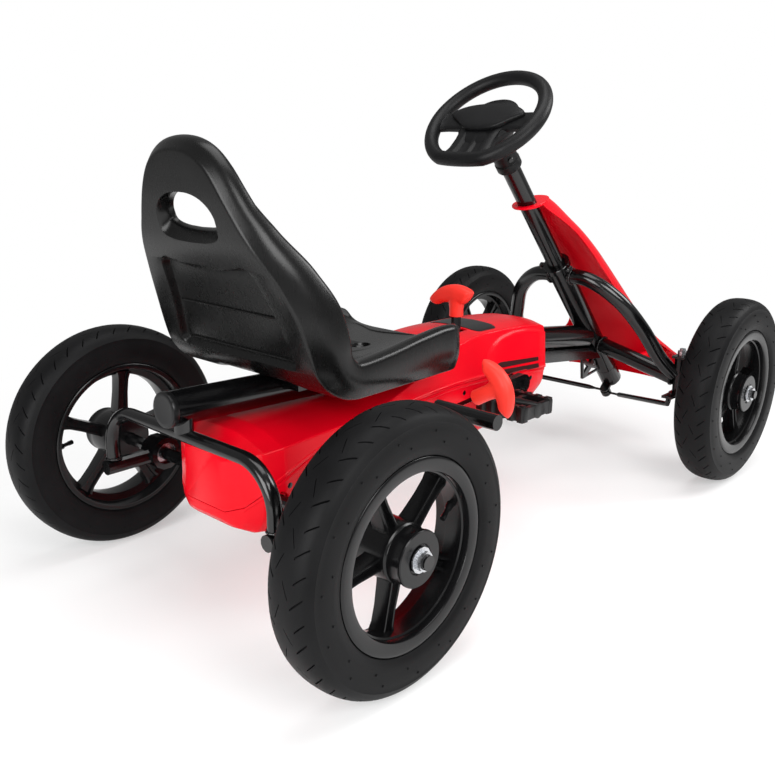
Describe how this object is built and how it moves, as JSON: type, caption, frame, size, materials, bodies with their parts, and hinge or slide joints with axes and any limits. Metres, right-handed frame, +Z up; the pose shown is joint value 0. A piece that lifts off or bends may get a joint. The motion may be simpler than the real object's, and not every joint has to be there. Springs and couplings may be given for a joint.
{
  "type": "pedal go kart",
  "caption": "Child's pedal go kart: tube frame, moulded bucket seat, crank and chain drive, steered front wheels on kingpins, hand brake and red covers.",
  "frame": {"origin": "on the ground, under the middle of the kart's overall box", "axes": "+X forward, +Y to the rider's left, +Z up"},
  "size_m": [1.1192, 0.6176, 0.6454],
  "materials": {
    "black_paint": "gloss black paint",
    "red_plastic": "satin moulded",
    "black_plastic": "fine grain moulded",
    "tyre_rubber": "matte rubber",
    "zinc_steel": "zinc plated"
  },
  "bodies": {
    "frame": {"backbone_tube": "black_paint", "backbone_plug": "black_plastic", "brace_tube": "black_paint", "steering_stay": "black_paint", "head_tube": "black_paint", "front_arch_left": "black_paint", "front_arch_right": "black_paint", "axle_beam_left": "black_paint", "axle_beam_right": "black_paint", "kingpin_sleeve_left": "black_paint", "kingpin_sleeve_right": "black_paint", "rear_hoop": "black_paint", "axle_carrier_left": "black_paint", "axle_carrier_right": "black_paint", "axle_bearing_left": "zinc_steel", "axle_bearing_right": "zinc_steel", "crank_shell": "black_paint", "chain": "zinc_steel", "case_upper": "red_plastic", "case_lower": "red_plastic", "front_fairing": "red_plastic", "brake_pivot": "black_paint", "shift_pin": "zinc_steel"},
    "rear_axle": {"rear_shaft": "zinc_steel", "rear_sprocket": "zinc_steel", "rear_right_rim": "black_plastic", "rear_right_tyre": "tyre_rubber", "rear_right_nut": "zinc_steel", "rear_left_nut": "zinc_steel"},
    "rear_left_wheel": {"rear_left_rim": "black_plastic", "rear_left_tyre": "tyre_rubber"},
    "steering": {"steering_column": "black_paint", "pitman_arm": "black_paint", "steering_wheel": "black_plastic", "steering_pad": "black_plastic"},
    "knuckle_right": {"knuckle_right": "black_paint", "kingpin_bolt_right": "zinc_steel", "front_right_nut": "zinc_steel"},
    "knuckle_left": {"knuckle_left": "black_paint", "kingpin_bolt_left": "zinc_steel", "front_left_nut": "zinc_steel"},
    "front_right_wheel": {"front_right_rim": "black_plastic", "front_right_tyre": "tyre_rubber"},
    "front_left_wheel": {"front_left_rim": "black_plastic", "front_left_tyre": "tyre_rubber"},
    "tie_rod_right": {"tie_rod_right": "black_paint"},
    "tie_rod_left": {"tie_rod_left": "black_paint"},
    "crank": {"crankshaft": "black_paint", "chainring": "zinc_steel"},
    "pedal_right": {"pedal_right": "black_plastic"},
    "pedal_left": {"pedal_left": "black_plastic"},
    "brake": {"brake_lever": "black_paint", "brake_bar": "black_plastic", "brake_grip": "red_plastic"},
    "shift": {"shift_lever": "black_paint", "shift_grip": "red_plastic"},
    "seat": {"seat": "black_plastic", "seat_clamp": "black_paint"}
  },
  "joints": [
    {"name": "rear_axle_spin", "type": "hinge", "parent": "frame", "child": "rear_axle", "pos_m": [-0.4078, 0, 0.15177], "axis": [0, 1, 0], "continuous": true},
    {"name": "rear_left_spin", "type": "hinge", "parent": "frame", "child": "rear_left_wheel", "pos_m": [-0.4078, 0.26035, 0.15177], "axis": [0, 1, 0], "continuous": true},
    {"name": "steering_turn", "type": "hinge", "parent": "frame", "child": "steering", "pos_m": [0.07, 0, 0.576], "axis": [-0.6752, 0, 0.7376], "range_deg": [-28, 28]},
    {"name": "knuckle_right_turn", "type": "hinge", "parent": "frame", "child": "knuckle_right", "pos_m": [0.4078, -0.18, 0.162], "axis": [0, 0, 1], "range_deg": [-21, 21]},
    {"name": "knuckle_left_turn", "type": "hinge", "parent": "frame", "child": "knuckle_left", "pos_m": [0.4078, 0.18, 0.162], "axis": [0, 0, 1], "range_deg": [-21, 21]},
    {"name": "front_right_spin", "type": "hinge", "parent": "knuckle_right", "child": "front_right_wheel", "pos_m": [0.4078, -0.26445, 0.15177], "axis": [0, 1, 0], "continuous": true},
    {"name": "front_left_spin", "type": "hinge", "parent": "knuckle_left", "child": "front_left_wheel", "pos_m": [0.4078, 0.26445, 0.15177], "axis": [0, 1, 0], "continuous": true},
    {"name": "tie_rod_right_swing", "type": "hinge", "parent": "knuckle_right", "child": "tie_rod_right", "pos_m": [0.3698, -0.18, 0.1284], "axis": [0, 0, 1], "range_deg": [-21, 21]},
    {"name": "tie_rod_left_swing", "type": "hinge", "parent": "knuckle_left", "child": "tie_rod_left", "pos_m": [0.3698, 0.18, 0.1284], "axis": [0, 0, 1], "range_deg": [-21, 21]},
    {"name": "crank_spin", "type": "hinge", "parent": "frame", "child": "crank", "pos_m": [0.06, 0, 0.198], "axis": [0, 1, 0], "continuous": true},
    {"name": "pedal_right_spin", "type": "hinge", "parent": "crank", "child": "pedal_right", "pos_m": [-0.038, -0.144, 0.198], "axis": [0, 1, 0], "continuous": true},
    {"name": "pedal_left_spin", "type": "hinge", "parent": "crank", "child": "pedal_left", "pos_m": [0.158, 0.144, 0.198], "axis": [0, 1, 0], "continuous": true},
    {"name": "brake_pull", "type": "hinge", "parent": "frame", "child": "brake", "pos_m": [-0.135, 0, 0.193], "axis": [0, 1, 0], "range_deg": [-6.2, 0], "stiffness_Nm_per_rad": 5, "springref_deg": 11.46},
    {"name": "shift_swing", "type": "hinge", "parent": "frame", "child": "shift", "pos_m": [-0.025, 0, 0.2434], "axis": [0, 1, 0], "range_deg": [-12, 12]},
    {"name": "seat_slide", "type": "slide", "parent": "frame", "child": "seat", "axis": [0.9993, 0, -0.038], "range_m": [-0.06, 0]}
  ],
  "couplings": [
    {"joint": "knuckle_right_turn", "follows": "steering_turn", "ratio": 0.73684},
    {"joint": "knuckle_left_turn", "follows": "steering_turn", "ratio": 0.73684},
    {"joint": "tie_rod_right_swing", "follows": "steering_turn", "ratio": -0.73684},
    {"joint": "tie_rod_left_swing", "follows": "steering_turn", "ratio": -0.73684},
    {"joint": "crank_spin", "follows": "rear_axle_spin", "ratio": 0.58333}
  ]
}
